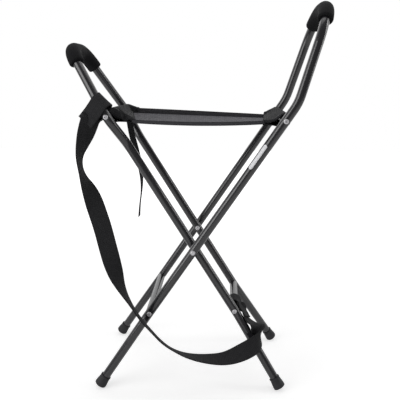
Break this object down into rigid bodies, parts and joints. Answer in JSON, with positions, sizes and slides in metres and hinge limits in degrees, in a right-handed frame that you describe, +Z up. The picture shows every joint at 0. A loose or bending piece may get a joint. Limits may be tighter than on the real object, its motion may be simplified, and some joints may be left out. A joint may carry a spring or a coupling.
{
  "type": "folding stick seat",
  "caption": "Folding walking stick seat: crossed bent-tube frames on scissor pivots, fabric sling, foam handle grips, rubber feet and a carry strap.",
  "frame": {"origin": "on the floor under the middle of the two frames", "axes": "+Z up; +X towards the tall handle; -Y towards the side that carries the strap; pivots run along Y"},
  "size_m": [0.4686, 0.2518, 0.7079],
  "materials": {
    "frame_paint": "black powder coat on steel tube, satin gloss",
    "foam": "closed-cell foam grip, matte",
    "foot_rubber": "moulded rubber, matte",
    "disc_steel": "zinc plated steel",
    "fastener_steel": "nickel plated steel heads",
    "plug_plastic": "moulded nylon",
    "spacer_plastic": "moulded nylon",
    "sling_fabric": "woven polyester, dark grey",
    "binding": "woven black binding",
    "sleeve_fabric": "woven polyester, black",
    "webbing": "polypropylene webbing, black",
    "tape": "narrow woven tape, black"
  },
  "bodies": {
    "outer_frame": {"outer_frame_tube": "frame_paint", "outer_seat_crossbar": "frame_paint", "outer_lower_crossbar": "frame_paint", "outer_grip": "foam", "foot_outer_near": "foot_rubber", "foot_outer_far": "foot_rubber", "outer_foot_discs": "disc_steel", "outer_crossbar_screws": "fastener_steel", "outer_crossbar_plugs": "plug_plastic", "pivot_rivet_near": "fastener_steel", "pivot_rivet_far": "fastener_steel", "pivot_spacers": "spacer_plastic", "seat_sleeve_right": "sleeve_fabric", "seat_panel": "sling_fabric", "seat_edge_near": "binding", "seat_edge_far": "binding"},
    "inner_frame": {"inner_frame_tube": "frame_paint", "inner_seat_crossbar": "frame_paint", "inner_lower_crossbar": "frame_paint", "inner_grip": "foam", "foot_inner_near": "foot_rubber", "foot_inner_far": "foot_rubber", "inner_foot_discs": "disc_steel", "inner_crossbar_screws": "fastener_steel", "inner_crossbar_plugs": "plug_plastic", "pivot_washers": "spacer_plastic", "seat_sleeve_left": "sleeve_fabric", "carry_strap": "webbing", "strap_top_loop": "webbing", "strap_lower_loop": "webbing", "closure_tape": "tape"}
  },
  "joints": [
    {"name": "scissor", "type": "hinge", "parent": "outer_frame", "child": "inner_frame", "pos_m": [-0.00328, 0, 0.274], "axis": [0, 1, 0], "range_deg": [0, 57.4], "deforming": ["seat_sleeve_left", "seat_sleeve_right", "seat_panel", "seat_edge_near", "seat_edge_far"]}
  ]
}
